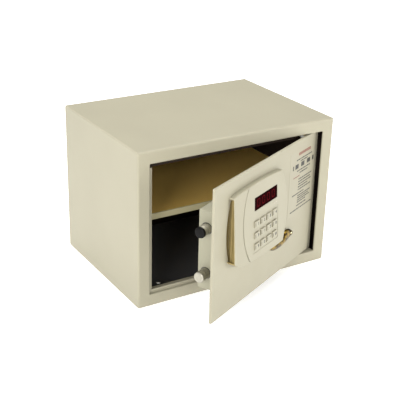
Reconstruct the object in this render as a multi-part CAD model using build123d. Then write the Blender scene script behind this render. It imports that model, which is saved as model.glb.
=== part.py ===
from build123d import *
import math
import os

# In-room safe with an open door, in millimetres.
# The origin is the centre of the cabinet's underside. +X runs to the hinge side, +Y to the back, +Z up.
# Every door part is drawn with the door shut and then swung open about the hinge axis.
# On the door, s runs from the free edge towards the hinge, h stands out from the outer face, z is height.

# Cabinet
WIDTH = 350.0
DEPTH = 250.0
HEIGHT = 250.0
SHEET = 2.0
EDGE_R = 3.0
OPENING_R = 1.5
BORDER = 20.0
STOP_DEPTH = 5.0
STOP_LIP = 5.5
STOP_SHEET = 1.5
LEDGE_DEPTH = 19.0
PANEL_X = 300.0
PANEL_Y = 190.0
PANEL_R = 15.0
PANEL_DROP = 0.5
ANCHOR_R = 4.5
BASE_ANCHOR_X = 220.0
BASE_ANCHOR_Y = 140.0
BACK_ANCHOR_X = 160.0
BACK_ANCHOR_Z = 190.0
SHELF_TOP = 130.0
SHELF_FRONT = 45.0
SHELF_SHEET = 1.5
SHELF_LIP = 10.0
MAT_THICK = 2.0

# Door and hinge
DOOR_GAP = 1.5
DOOR_THICK = 4.0
HINGE_X = 125.5
HINGE_BACK = 12.0
REST_OPEN = 25.5
PIN_R = 3.0
RUNNING = 0.05
LUG_THICK = 3.0
LUG_Z = 224.0

# Lock case behind the door
CASE_S0 = 25.0
CASE_S1 = 230.0
CASE_Z0 = 58.5
CASE_Z1 = 181.5
CASE_SHEET = 1.5
CASE_BACK = -40.0
COVER_THICK = 1.2
BOLT_R = 8.0
BOLT_H = -27.0
BOLT_Z = (85.0, 155.0)
BOLT_TIP_S = 6.2
CARRIAGE_S = 56.0
CARRIAGE_THICK = 4.0

# Rack and pinion
MODULE = 1.0
TEETH = 18
PRESSURE = math.radians(20.0)
BACKLASH = 0.24
PINION_S = 86.0
RACK_PITCH_Z = 117.0
GEAR_H0 = -33.0
GEAR_H1 = -27.0
SHAFT_R = 2.0

# Front mouldings: their face leans out towards the bottom
FACE_TOP_H = 8.0
FACE_TOP_Z = 202.0
FACE_SLOPE = 0.053
WALL = 2.2
EDGE_SOFT = 1.4
GRIP_LEFT = 38.5
GROOVE = 1.1
RIM = 1.3
POCKET_FLOOR = -12.0
KEY_W = 13.6
KEY_H = 10.0
KEY_PROUD = 1.8
KEY_GAP = 0.2
KEY_PITCH_S = 17.55
KEY_PITCH_Z = 17.65
KEY_FIRST_S = 99.3
KEY_FIRST_Z = 144.7
KEY_NAMES = ("1", "2", "3", "4", "5", "6", "7", "8", "9", "0", "clear", "lock")
KEY_COLUMNS = 4
WINDOW = (93.5, 160.7, 165.5, 186.0)
INDICATOR_Z = 159.0

# Emergency lock and its swivelling cover
LOCK_S = 214.5
LOCK_Z = 81.0
PLUG_R = 6.0
BARREL_R = 8.5
PIVOT_S = 166.0
PIVOT_Z = 74.4
PIVOT_R = 2.5

# Batteries
CELL_R = 7.2
CELL_LENGTH = 50.0
CELL_COUNT = 4
CELL_PITCH = 14.8
CELL_S = 141.0
CELL_Z = 64.5
CELL_H = -30.4

FRONT = -DEPTH / 2
DOOR_LEFT = -WIDTH / 2 + BORDER + DOOR_GAP
DOOR_LENGTH = WIDTH - 2 * (BORDER + DOOR_GAP)
DOOR_Z0 = BORDER + DOOR_GAP
DOOR_Z1 = HEIGHT - BORDER - DOOR_GAP
HINGE_Y = FRONT + HINGE_BACK
HINGE_AXIS = Axis((HINGE_X, HINGE_Y, 0), (0, 0, 1))
HINGE_S = HINGE_X - DOOR_LEFT
LEAN = math.degrees(math.atan(FACE_SLOPE))
INNER_BACK = CASE_BACK + COVER_THICK


def block(x0, x1, y0, y1, z0, z1):
    """A box between two corners, in the cabinet's frame."""
    size = Box(x1 - x0, y1 - y0, z1 - z0)
    return Pos((x0 + x1) / 2, (y0 + y1) / 2, (z0 + z1) / 2) * size


def door_block(s0, s1, h0, h1, z0, z1):
    """A box between two corners, in door coordinates."""
    return block(DOOR_LEFT + s0, DOOR_LEFT + s1, FRONT - h1, FRONT - h0, z0, z1)


def at(s, z):
    """A place on the door's face, for a flat shape."""
    return Pos(DOOR_LEFT + s, z)


def slab(flat, h0, h1):
    """A flat shape on the door's face, raised from h0 to h1."""
    return extrude(Plane.XZ.offset(DEPTH / 2 + h0) * flat, amount=h1 - h0)


def disc(s, z, radius, h0, h1):
    """A cylinder square to the door's face."""
    return slab(at(s, z) * Circle(radius), h0, h1)


def along_s(h, z, radius, s0, s1):
    """A cylinder that runs along the door."""
    flat = Plane.YZ.offset(DOOR_LEFT + s0) * (Pos(FRONT - h, z) * Circle(radius))
    return extrude(flat, amount=s1 - s0)


def upright(x, y, radius, z0, z1):
    """A vertical cylinder in the cabinet's frame."""
    return Pos(x, y, (z0 + z1) / 2) * Cylinder(radius, z1 - z0)


def upside_down(shape):
    """The matching part at the other end of the hinge."""
    return mirror(shape, about=Plane.XY.offset(HEIGHT / 2))


def save(name, shape):
    export_step(shape, f"parts/{name}.step")


def save_on_door(name, shape):
    save(name, shape.rotate(HINGE_AXIS, REST_OPEN))


def group(shapes):
    return Compound(children=[solid for shape in shapes for solid in shape.solids()])


# ---- Cabinet ----

def base_anchors():
    half_x = BASE_ANCHOR_X / 2
    half_y = BASE_ANCHOR_Y / 2
    return [(x, y) for x in (-half_x, half_x) for y in (-half_y, half_y)]


def cabinet_shell():
    """The folded wrap with its front frame, standing on a shallow panel pressed into its underside."""
    body = block(-WIDTH / 2, WIDTH / 2, FRONT, DEPTH / 2, PANEL_DROP, HEIGHT)
    front_edges = body.faces().sort_by(Axis.Y)[0].edges()
    body = fillet(body.edges().filter_by(Axis.Y) + front_edges, EDGE_R)
    body += extrude(RectangleRounded(PANEL_X, PANEL_Y, PANEL_R), amount=PANEL_DROP)
    inner_x = WIDTH / 2 - SHEET
    body -= block(-inner_x, inner_x, FRONT + SHEET, DEPTH / 2, SHEET, HEIGHT - SHEET)
    opening = RectangleRounded(WIDTH - 2 * BORDER, HEIGHT - 2 * BORDER, 1.5)
    body -= slab(Pos(0, HEIGHT / 2) * opening, -SHEET, 1.0)
    front = body.faces().sort_by(Axis.Y)[0]
    body = fillet(front.inner_wires()[0].edges(), OPENING_R)
    for x, y in base_anchors():
        body -= upright(x, y, ANCHOR_R, -1.0, SHEET + 1.0)
    return body


def back_panel():
    inner_x = WIDTH / 2 - SHEET
    panel = block(-inner_x, inner_x, DEPTH / 2 - SHEET, DEPTH / 2, SHEET, HEIGHT - SHEET)
    for x in (-BACK_ANCHOR_X / 2, BACK_ANCHOR_X / 2):
        hole = Pos(x, DEPTH / 2, BACK_ANCHOR_Z) * Rot(90, 0, 0) * Cylinder(ANCHOR_R, 3 * SHEET)
        panel -= hole
    return panel


def door_stop_frame():
    """A folded strip inside the front opening, with a ledge above and below.

    The inner lips stop short of the hinge, where the door swings inward.
    The ledges are pierced for the hinge bushes.
    """
    left = -WIDTH / 2 + BORDER
    right = -left
    end = HINGE_X - 22.5
    low = BORDER
    high = HEIGHT - BORDER
    y0 = FRONT + SHEET
    y1 = FRONT + STOP_DEPTH
    y2 = y1 + STOP_SHEET
    y3 = y0 + LEDGE_DEPTH
    frame = block(left - SHEET, left, y0, y2, low - SHEET, high + SHEET)
    frame += block(left - SHEET, left + STOP_LIP, y1, y2, low - SHEET, high + SHEET)
    frame += block(left - SHEET, right, y0, y3, low - SHEET, low)
    frame += block(left - SHEET, end, y1, y2, low - SHEET, low + STOP_LIP)
    frame += block(left - SHEET, right, y0, y3, high, high + SHEET)
    frame += block(left - SHEET, end, y1, y2, high - STOP_LIP, high + SHEET)
    for z in (low, high):
        frame -= upright(HINGE_X, HINGE_Y, 7.2, z - 3.0, z + 3.0)
    return frame


def strike_channel():
    """The channel that the bolts enter when the door is locked."""
    left = -WIDTH / 2 + SHEET
    wall = -WIDTH / 2 + BORDER + 2.0
    y0 = FRONT + STOP_DEPTH + STOP_SHEET
    y1 = y0 + 37.0
    channel = block(wall, wall + SHEET, y0, y1, BORDER, HEIGHT - BORDER)
    channel += block(left, wall + SHEET, y1 - SHEET, y1, BORDER, HEIGHT - BORDER)
    reach = BOLT_R + 1.0
    y = FRONT - BOLT_H
    for z in BOLT_Z:
        channel -= block(wall - 1, wall + SHEET + 1, y - reach, y + reach, z - reach, z + reach)
    return channel


def hinge_bracket():
    x0 = HINGE_X - 14.0
    x1 = HINGE_X + 14.0
    y0 = HINGE_Y - 8.0
    rise = HINGE_Y + 12.0
    plate_z0 = HEIGHT - 17.0
    plate_z1 = plate_z0 + LUG_THICK
    roof = HEIGHT - SHEET
    bracket = block(x0, x1, y0, rise + SHEET, plate_z0, plate_z1)
    bracket += block(x0, x1, rise, rise + SHEET, plate_z0, roof)
    bracket += block(x0, x1, rise, rise + 16.0, roof - SHEET, roof)
    bracket -= upright(HINGE_X, HINGE_Y, 5.0, plate_z0 - 1.0, plate_z1 + 1.0)
    return bracket


def hinge_bush():
    plate_z0 = HEIGHT - 17.0
    bush = upright(HINGE_X, HINGE_Y, 5.0, plate_z0, plate_z0 + LUG_THICK)
    bush += upright(HINGE_X, HINGE_Y, 6.0, LUG_Z + LUG_THICK + 0.1, plate_z0)
    bush -= upright(HINGE_X, HINGE_Y, PIN_R + RUNNING, LUG_Z, HEIGHT)
    return bush


def shelf():
    half = WIDTH / 2 - SHEET - 1.0
    y0 = FRONT + SHELF_FRONT
    y1 = DEPTH / 2 - SHEET - 1.0
    plate = block(-half, half, y0, y1, SHELF_TOP - SHELF_SHEET, SHELF_TOP)
    plate += block(-half, half, y0, y0 + SHELF_SHEET, SHELF_TOP - SHELF_LIP, SHELF_TOP)
    top_edge = plate.edges().filter_by(Axis.X).sort_by(Axis.Y).group_by(Axis.Y)[0].sort_by(Axis.Z)[-1]
    return fillet(top_edge, 1.2)


def shelf_rails():
    wall = WIDTH / 2 - SHEET
    y0 = FRONT + SHELF_FRONT + 6.0
    y1 = DEPTH / 2 - SHEET - 6.0
    z1 = SHELF_TOP - SHELF_SHEET
    rails = []
    for side in (-1, 1):
        inner = side * (wall - 12.0)
        edge = side * (wall - SHEET)
        outer = side * wall
        rail = block(min(inner, outer), max(inner, outer), y0, y1, z1 - SHEET, z1)
        rail += block(min(edge, outer), max(edge, outer), y0, y1, z1 - 14.0, z1)
        rails.append(rail)
    return group(rails)


def floor_mat():
    half = WIDTH / 2 - SHEET - 1.5
    mat = block(-half, half, FRONT + 8.0, DEPTH / 2 - SHEET - 1.0, SHEET, SHEET + MAT_THICK)
    for x, y in base_anchors():
        mat -= upright(x, y, ANCHOR_R, 0.0, 2 * SHEET + MAT_THICK)
    left = -WIDTH / 2 + BORDER + 2.0
    mat -= block(-WIDTH, left + SHEET + 0.5, FRONT, FRONT + 45.0, 0, 10)
    mat -= block(HINGE_X - 16.0, WIDTH, FRONT, HINGE_Y + 30.0, 0, 10)
    return mat


# ---- Door plate and hinge ----

def pocket_outline(grow):
    """The finger pocket's plan on the door: a crescent on the left, square under the grip's rim."""
    top = (DOOR_LEFT + 43.5 - grow, 200.0 + grow)
    mid = (DOOR_LEFT + 33.4 - grow, 152.0)
    low = (DOOR_LEFT + 44.0 - grow, 98.0 - grow)
    right = DOOR_LEFT + 47.0 + grow
    rest = Polyline(low, (right, 100.0 - grow), (right, 199.0 + grow), top)
    return make_face([ThreePointArc(top, mid, low).edge(), *rest.edges()])


def mouth_outline(grow):
    """The plan of the space under the grip's rim, open on its left."""
    corners = [(30.0, 106.5), (40.0, 104.0), (45.0, 100.5), (50.0, 99.0)]
    corners = [(s, z - grow) for s, z in corners]
    corners += [(s, z + grow) for s, z in [(50.0, 199.0), (44.0, 200.5), (39.0, 201.4), (30.0, 201.4)]]
    return make_face(Polyline(*[(DOOR_LEFT + s, z) for s, z in corners], close=True))


def pocket_section(grow):
    """A prism with the finger pocket's cross-section, whose inner wall leans back under the rim."""
    wall = [(44.5, POCKET_FLOOR), (46.0, 2.0), (39.6, 12.5), (39.6, 30.0)]
    corners = [(10.0, POCKET_FLOOR - grow), *[(s + grow, h) for s, h in wall], (10.0, 30.0)]
    corners[1] = (44.5 + grow, POCKET_FLOOR - grow)
    flat = make_face(Polyline(*[(DOOR_LEFT + s, FRONT - h) for s, h in corners], close=True))
    return extrude(Plane.XY.offset(80.0) * flat, amount=140.0)


def screw_places():
    """Screws that hold the front mouldings, as (s, z)."""
    return [(83.5, 193.5), (170.0, 193.5), (88.5, 95.5), (174.0, 95.5), (66.0, 195.5), (66.0, 100.0)]


def door_plate():
    plate = door_block(0, DOOR_LENGTH, -DOOR_THICK, 0, DOOR_Z0, DOOR_Z1)
    plate = fillet(plate.edges(), 0.6)
    plate -= slab(pocket_outline(0.0), -DOOR_THICK - 1, 1)
    plate -= door_block(119.0, 135.0, -DOOR_THICK - 1, 1, 151.0, 158.0)
    plate -= disc(LOCK_S, LOCK_Z, BARREL_R, -DOOR_THICK - 1, 1)
    plate -= disc(PIVOT_S, PIVOT_Z, PIVOT_R + RUNNING, -DOOR_THICK - 1, 1)
    for s, z in screw_places():
        plate -= disc(s, z, 1.5, -DOOR_THICK - 1, 1)
    return plate


def hinge_lug():
    inner = FRONT + DOOR_THICK
    leg = block(HINGE_X - 18.0, HINGE_X + 18.0, inner, inner + 2.5, LUG_Z - 20.0, LUG_Z + LUG_THICK)
    ear = block(HINGE_X - 7.6, HINGE_X + 7.6, inner, HINGE_Y, LUG_Z, LUG_Z + LUG_THICK)
    ear += upright(HINGE_X, HINGE_Y, 7.6, LUG_Z, LUG_Z + LUG_THICK)
    lug = leg + ear
    lug -= upright(HINGE_X, HINGE_Y, PIN_R, LUG_Z - 1.0, LUG_Z + LUG_THICK + 1.0)
    return lug


def hinge_pin():
    pin = upright(HINGE_X, HINGE_Y, PIN_R, LUG_Z, HEIGHT - 12.5)
    pin += upright(HINGE_X, HINGE_Y, 5.0, LUG_Z - 2.5, LUG_Z)
    return pin


def instruction_label():
    return door_block(217.0, 300.0, 0.0, 0.15, 104.0, 212.0)


# ---- Lock case ----

def lock_chassis():
    """The ring of sheet behind the door, with a screw tab in each corner."""
    outer = door_block(CASE_S0, CASE_S1, INNER_BACK, -DOOR_THICK, CASE_Z0, CASE_Z1)
    outer = fillet(outer.edges().filter_by(Axis.Y), 2.0)
    t = CASE_SHEET
    inner = door_block(CASE_S0 + t, CASE_S1 - t, CASE_BACK, 0, CASE_Z0 + t, CASE_Z1 - t)
    ring = outer - fillet(inner.edges().filter_by(Axis.Y), 0.6)
    for s, z in cover_screw_places():
        tab = door_block(s - 7.0, s + 7.0, INNER_BACK, INNER_BACK + t, z - 7.0, z + 7.0)
        ring += tab & outer
    for s, z in cover_screw_places():
        ring -= disc(s, z, 1.5, CASE_BACK, 0)
    for z in BOLT_Z:
        ring -= along_s(BOLT_H, z, BOLT_R + 1.0, CASE_S0 - 1, CASE_S0 + t + 1)
    ring -= slab(pocket_outline(2.0), POCKET_FLOOR - 2.0, 0.0)
    return ring


def cover_screw_places():
    inset = 6.0
    return [(s, z) for s in (CASE_S0 + inset, CASE_S1 - inset) for z in (CASE_Z0 + inset, CASE_Z1 - inset)]


def battery_hatch(grow):
    """The hatch's plan in the case cover."""
    return (CELL_S - 10.0 - grow, CELL_S + 54.4 + grow, CASE_Z0 + 3.0 - grow, 118.0 + grow)


def lock_cover():
    plate = door_block(CASE_S0, CASE_S1, CASE_BACK, INNER_BACK, CASE_Z0, CASE_Z1)
    plate = fillet(plate.edges().filter_by(Axis.Y), 2.0)
    s0, s1, z0, z1 = battery_hatch(0.3)
    plate -= door_block(s0, s1, CASE_BACK - 1, INNER_BACK + 1, z0, z1)
    for s, z in cover_screw_places():
        plate -= disc(s, z, 1.5, CASE_BACK - 1, 0)
    return plate


def lock_cover_screws():
    screws = []
    for s, z in cover_screw_places():
        screw = disc(s, z, 1.5, CASE_BACK, CASE_BACK + 7.0)
        head = disc(s, z, 3.0, CASE_BACK - 1.6, CASE_BACK)
        head = fillet(head.edges().sort_by(Axis.Y)[-1], 0.8)
        screw += head
        screw -= door_block(s - 2.0, s + 2.0, CASE_BACK - 2, CASE_BACK - 0.9, z - 0.35, z + 0.35)
        screw -= door_block(s - 0.35, s + 0.35, CASE_BACK - 2, CASE_BACK - 0.9, z - 2.0, z + 2.0)
        screws.append(screw)
    return group(screws)


def bolt_bushes():
    bushes = []
    for z in BOLT_Z:
        bush = along_s(BOLT_H, z, BOLT_R + 1.0, CASE_S0, CASE_S0 + 10.0)
        bush += along_s(BOLT_H, z, BOLT_R + 2.6, CASE_S0 + CASE_SHEET, CASE_S0 + CASE_SHEET + 2.0)
        bush -= along_s(BOLT_H, z, BOLT_R + RUNNING, CASE_S0 - 1, CASE_S0 + 11.0)
        bushes.append(bush)
    return group(bushes)


def lock_bolt(z):
    """A round bolt with a groove near its tip and a reduced tail that is peened into the carriage."""
    bolt = along_s(BOLT_H, z, BOLT_R, BOLT_TIP_S, CARRIAGE_S)
    bolt = chamfer(bolt.edges().sort_by(Axis.X)[0], 0.8)
    groove = along_s(BOLT_H, z, BOLT_R + 1, BOLT_TIP_S + 9.6, BOLT_TIP_S + 10.6)
    groove -= along_s(BOLT_H, z, BOLT_R - 0.8, BOLT_TIP_S + 9.0, BOLT_TIP_S + 11.0)
    bolt -= groove
    bolt += along_s(BOLT_H, z, 5.0, CARRIAGE_S, CARRIAGE_S + CARRIAGE_THICK + 1.0)
    return bolt


def carriage_plate():
    plate = door_block(CARRIAGE_S, CARRIAGE_S + CARRIAGE_THICK, -36.0, -18.0, 74.0, 166.0)
    plate = fillet(plate.edges().filter_by(Axis.X), 4.0)
    for z in BOLT_Z:
        plate -= along_s(BOLT_H, z, 5.0, CARRIAGE_S - 1, CARRIAGE_S + CARRIAGE_THICK + 1)
    return plate


def drive_rack():
    """A straight rack along the door, with its teeth on top and one tooth centred under the pinion."""
    pitch = math.pi * MODULE
    root = RACK_PITCH_Z - 1.25 * MODULE
    tip = RACK_PITCH_Z + 0.9 * MODULE
    half = (pitch / 2 - BACKLASH) / 2
    root_half = half + (RACK_PITCH_Z - root) * math.tan(PRESSURE)
    tip_half = half - (tip - RACK_PITCH_Z) * math.tan(PRESSURE)
    start = CARRIAGE_S + CARRIAGE_THICK
    rack = door_block(start, PINION_S + 27.0, GEAR_H0, GEAR_H1, root - 6.0, root)
    for i in range(-2, 9):
        centre = PINION_S + i * pitch
        tooth = at(centre, 0) * make_face(
            Polyline((-root_half, root), (-tip_half, tip), (tip_half, tip), (root_half, root), close=True)
        )
        rack += slab(tooth, GEAR_H0, GEAR_H1)
    return rack


def involute(angle):
    return math.tan(angle) - angle


def pinion_profile():
    """The pinion's tooth outline, with a tooth space pointing down at the rack."""
    pitch_r = MODULE * TEETH / 2
    base_r = pitch_r * math.cos(PRESSURE)
    root_r = pitch_r - 1.25 * MODULE
    tip_r = pitch_r + 0.9 * MODULE
    half_pitch = (math.pi * MODULE / 2 - BACKLASH) / (2 * pitch_r)
    steps = 6
    radii = [base_r + (tip_r - base_r) * i / steps for i in range(steps + 1)]
    flank = [(r, half_pitch + involute(PRESSURE) - involute(math.acos(base_r / r))) for r in radii]
    flank.insert(0, (root_r, flank[0][1]))
    points = []
    for tooth in range(TEETH):
        middle = -math.pi / 2 + (tooth + 0.5) * 2 * math.pi / TEETH
        points += [(r * math.cos(middle - a), r * math.sin(middle - a)) for r, a in flank]
        points += [(r * math.cos(middle + a), r * math.sin(middle + a)) for r, a in reversed(flank)]
    return make_face(Polyline(*points, close=True))


def drive_pinion():
    z = RACK_PITCH_Z + MODULE * TEETH / 2
    gear = slab(at(PINION_S, z) * pinion_profile(), GEAR_H0, GEAR_H1)
    gear += disc(PINION_S, z, 4.5, GEAR_H0 - 1.5, GEAR_H0)
    gear += disc(PINION_S, z, SHAFT_R, GEAR_H1, GEAR_H1 + 12.0)
    return gear


def motor_gearbox():
    z = RACK_PITCH_Z + MODULE * TEETH / 2
    box = door_block(PINION_S - 11.0, PINION_S + 11.0, -24.0, -8.0, z - 11.0, z + 11.0)
    box = fillet(box.edges().filter_by(Axis.Y), 2.0)
    box -= disc(PINION_S, z, SHAFT_R + RUNNING, -25.0, -14.0)
    can = upright(DOOR_LEFT + PINION_S, FRONT + 16.0, 8.0, z + 11.0, z + 36.0)
    can += upright(DOOR_LEFT + PINION_S, FRONT + 16.0, 3.0, z + 36.0, z + 38.0)
    return box + can


def motor_bracket():
    z = RACK_PITCH_Z + MODULE * TEETH / 2
    s0 = PINION_S - 13.0
    s1 = PINION_S + 13.0
    plate = door_block(s0, s1, -25.5, -24.0, z - 6.0, z + 18.0)
    for leg in (s0, s1 - 1.5):
        plate += door_block(leg, leg + 1.5, -25.5, -DOOR_THICK, z - 6.0, z + 10.0)
    plate += door_block(s0 - 8.0, s0, -DOOR_THICK - 1.5, -DOOR_THICK, z - 6.0, z + 10.0)
    plate += door_block(s1, s1 + 8.0, -DOOR_THICK - 1.5, -DOOR_THICK, z - 6.0, z + 10.0)
    plate -= disc(PINION_S, z, 4.0, -26.0, -23.0)
    return plate


def main_board():
    board = door_block(112.0, 204.0, -12.0, -10.4, 124.0, 176.0)
    board += door_block(120.0, 136.0, -14.5, -12.0, 134.0, 150.0)
    board += door_block(146.0, 152.0, -18.0, -12.0, 130.0, 142.0)
    board += disc(180.0, 160.0, 6.0, -20.0, -12.0)
    board += door_block(160.0, 172.0, -16.0, -12.0, 126.0, 132.0)
    for s in (116.0, 200.0):
        for z in (128.0, 172.0):
            board += disc(s, z, 2.5, -10.4, -DOOR_THICK)
    return board


def ribbon_cable():
    end = face_height(154.5) - 8.05
    return door_block(121.0, 133.0, -10.4, end, 154.0, 155.0)


def cell_centres():
    return [CELL_S + i * CELL_PITCH for i in range(CELL_COUNT)]


def battery_tray():
    s0 = CELL_S - 9.5
    s1 = CELL_S + (CELL_COUNT - 1) * CELL_PITCH + 9.5
    tray = door_block(s0, s1, INNER_BACK + 0.2, -21.0, CELL_Z - 3.0, CELL_Z + CELL_LENGTH + 3.0)
    hollow = door_block(s0 + 1.5, s1 - 1.5, CASE_BACK, -22.5, CELL_Z - 1.5, CELL_Z + CELL_LENGTH + 1.5)
    tray -= hollow
    for s in cell_centres()[:-1]:
        middle = s + CELL_PITCH / 2
        tray += door_block(middle - 0.15, middle + 0.15, -25.5, -22.5, CELL_Z + 8.0, CELL_Z + 42.0)
    for s in (s0 + 8.0, s1 - 8.0):
        tray += door_block(s - 3.0, s + 3.0, -21.0, -DOOR_THICK, CELL_Z + 20.0, CELL_Z + 26.0)
    return tray


def batteries():
    cells = []
    for i, s in enumerate(cell_centres()):
        x = DOOR_LEFT + s
        y = FRONT - CELL_H
        cell = upright(x, y, CELL_R, CELL_Z + 0.8, CELL_Z + CELL_LENGTH - 1.2)
        nub_up = i % 2 == 0
        nub_z = CELL_Z + CELL_LENGTH - 1.2 if nub_up else CELL_Z
        cell += upright(x, y, 2.6, nub_z, nub_z + (1.0 if nub_up else 0.8))
        cells.append(cell)
    return group(cells)


def battery_contacts():
    plates = []
    y_low = INNER_BACK + 2.0
    for s in cell_centres():
        for z in (CELL_Z - 1.5, CELL_Z + CELL_LENGTH + 0.9):
            plates.append(door_block(s - 4.5, s + 4.5, y_low, -24.0, z, z + 0.6))
    return group(plates)


def battery_cover():
    s0, s1, z0, z1 = battery_hatch(0.0)
    plate = door_block(s0, s1, CASE_BACK, INNER_BACK, z0, z1)
    plate = fillet(plate.edges().filter_by(Axis.Y), 1.5)
    middle = (s0 + s1) / 2
    plate -= door_block(middle - 9.0, middle + 9.0, CASE_BACK - 1, CASE_BACK + 0.6, z1 - 8.0, z1 - 4.0)
    return plate


# ---- Front mouldings ----

def face_height(z):
    """How far the mouldings' face stands out from the door at height z."""
    return FACE_TOP_H + (FACE_TOP_Z - z) * FACE_SLOPE


def below_face(depth, h0=-20.0):
    """Everything behind a plane that lies the given depth under the mouldings' face."""
    low = 40.0
    high = 240.0
    corners = [
        (FRONT - h0, low),
        (FRONT - h0, high),
        (FRONT - face_height(high) + depth, high),
        (FRONT - face_height(low) + depth, low),
    ]
    flat = Plane.YZ * make_face(Polyline(*corners, close=True))
    return extrude(flat, amount=WIDTH / 2, both=True)


def groove_arc(shift):
    """The curved line between the grip and the keypad housing, moved along s by shift."""
    ends = [(79.0, 206.9), (63.0, 148.0), (82.0, 89.9)]
    return ThreePointArc(*[(DOOR_LEFT + s + shift, z) for s, z in ends])


def housing_outline():
    """The oval keypad housing: curved on both sides, with a crowned top and bottom."""
    left = groove_arc(0.0)
    top_left = left @ 0
    low_left = left @ 1
    top_right = (DOOR_LEFT + 176.0, 203.5)
    low_right = (DOOR_LEFT + 180.0, 87.0)
    top = ThreePointArc(top_left, (DOOR_LEFT + 130.0, 206.9), top_right)
    right = ThreePointArc(top_right, (DOOR_LEFT + 191.8, 146.0), low_right)
    low = ThreePointArc(low_right, (DOOR_LEFT + 130.0, 87.2), low_left)
    return make_face([left.edge(), low.edge(), right.edge(), top.edge()])


def grip_outline():
    """The grip: straight on its left, and parallel to the keypad housing on its right."""
    right = groove_arc(-GROOVE)
    top_right = right @ 0
    low_right = right @ 1
    top_left = (DOOR_LEFT + GRIP_LEFT, 204.0)
    low_left = (DOOR_LEFT + GRIP_LEFT, 103.5)
    top = ThreePointArc(top_left, (DOOR_LEFT + 58.0, 206.2), top_right)
    low = ThreePointArc(low_left, (DOOR_LEFT + 49.0, 95.8), low_right)
    side = Line(top_left, low_left)
    return make_face([right.edge(), low.edge(), side.edge(), top.edge()])


def moulding(outline, depth_of_wall):
    """A moulded cap with a leaning face, softened front edges and an even wall."""
    cap = slab(outline, 0.0, 30.0) & below_face(0.0)
    leaning = [f for f in cap.faces() if f.normal_at().Y < -0.9]
    cap = fillet(leaning[0].outer_wire().edges(), EDGE_SOFT)
    core = slab(offset(outline, amount=-depth_of_wall), -1.0, 30.0) & below_face(depth_of_wall)
    return cap - core


def screw_bosses(places, reach):
    posts = None
    for s, z in places:
        post = disc(s, z, 3.2, 0.0, 30.0) & below_face(reach)
        post -= disc(s, z, 1.5, -1.0, 5.0)
        posts = post if posts is None else posts + post
    return posts


def grip_moulding():
    """The door pull: a hollow cap with a thin rim on its left that hooks over the finger pocket."""
    shell = moulding(grip_outline(), WALL)
    lining = slab(mouth_outline(1.5), 0.0, 30.0) & below_face(0.6) & slab(grip_outline(), 0.0, 30.0)
    shell += lining & pocket_section(1.5)
    inside = slab(mouth_outline(0.0), -1.0, 30.0) & below_face(RIM)
    shell -= inside & pocket_section(0.0)
    return shell + screw_bosses(screw_places()[4:], WALL - 0.2)


def finger_cup():
    """The tray behind the cut-out in the door plate, where the fingertips go."""
    cup = slab(pocket_outline(1.5), POCKET_FLOOR - 1.4, -DOOR_THICK)
    cup -= slab(pocket_outline(0.0), POCKET_FLOOR, -DOOR_THICK + 1.0) & pocket_section(0.0)
    return cup


def key_places():
    places = []
    for i in range(len(KEY_NAMES)):
        row, column = divmod(i, KEY_COLUMNS)
        places.append((KEY_FIRST_S + column * KEY_PITCH_S, KEY_FIRST_Z - row * KEY_PITCH_Z))
    return places


def on_face(s, z):
    """A place on the leaning face: local Z points out of the face."""
    y = FRONT - face_height(z)
    return Pos(DOOR_LEFT + s, y, z) * Rot(90 - LEAN, 0, 0)


def key_cap(s, z):
    """A raised key with a retaining rim under the face."""
    plan = on_face(s, z) * Pos(0, 0, -WALL - 0.6) * RectangleRounded(KEY_W, KEY_H, 1.6)
    cap = extrude(plan, amount=KEY_PROUD + WALL + 0.6)
    top = cap.faces().sort_by(Axis.Y)[0]
    cap = fillet(top.edges(), 0.6)
    rim = on_face(s, z) * Pos(0, 0, -WALL - 1.2) * RectangleRounded(KEY_W + 1.8, KEY_H + 1.8, 2.0)
    return cap + extrude(rim, amount=1.0)


def keypad_housing():
    shell = moulding(housing_outline(), WALL)
    shell += screw_bosses(screw_places()[:4], WALL - 0.2)
    s0, s1, z0, z1 = WINDOW
    window = at((s0 + s1) / 2, (z0 + z1) / 2) * RectangleRounded(s1 - s0, z1 - z0, 0.8)
    shell -= slab(window, 2.0, 30.0)
    panel = at(125.3, 126.9) * RectangleRounded(75.6, 54.0, 2.0)
    shell -= slab(panel, 2.0, 30.0) - below_face(0.4)
    hole = RectangleRounded(KEY_W + 2 * KEY_GAP, KEY_H + 2 * KEY_GAP, 1.8)
    for s, z in key_places():
        shell -= extrude(on_face(s, z) * Pos(0, 0, -5.0) * hole, amount=10.0)
    for s in indicator_places():
        shell -= disc(s, INDICATOR_Z, 1.3, 2.0, 30.0)
    return shell


def indicator_places():
    return (151.0, 157.5)


def housing_screws():
    screws = []
    for s, z in screw_places():
        screw = disc(s, z, 1.5, -DOOR_THICK, 4.5)
        head = disc(s, z, 2.8, -DOOR_THICK - 1.8, -DOOR_THICK)
        screws.append(screw + head)
    return group(screws)


def display_lens():
    s0, s1, z0, z1 = WINDOW
    pane = RectangleRounded(s1 - s0 - 0.4, z1 - z0 - 0.4, 0.6)
    place = on_face((s0 + s1) / 2, (z0 + z1) / 2) * Pos(0, 0, -WALL - 1.4)
    return extrude(place * pane, amount=WALL + 1.0)


def display_module():
    s0, s1, z0, z1 = WINDOW
    place = on_face((s0 + s1) / 2, (z0 + z1) / 2) * Pos(0, 0, -6.4)
    return extrude(place * Rectangle(s1 - s0 - 2.0, z1 - z0 - 2.0), amount=2.6)


def indicator_lights():
    lights = []
    for s in indicator_places():
        light = on_face(s, INDICATOR_Z) * Pos(0, 0, -6.4) * Circle(1.2)
        post = extrude(light, amount=6.9)
        post = fillet(post.edges().sort_by(Axis.Y)[0], 0.5)
        lights.append(post)
    return group(lights)


def keypad_board():
    board = on_face(127.0, 144.0) * Pos(0, 0, -8.0) * Rectangle(74.0, 88.0)
    return extrude(board, amount=1.6)


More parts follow.
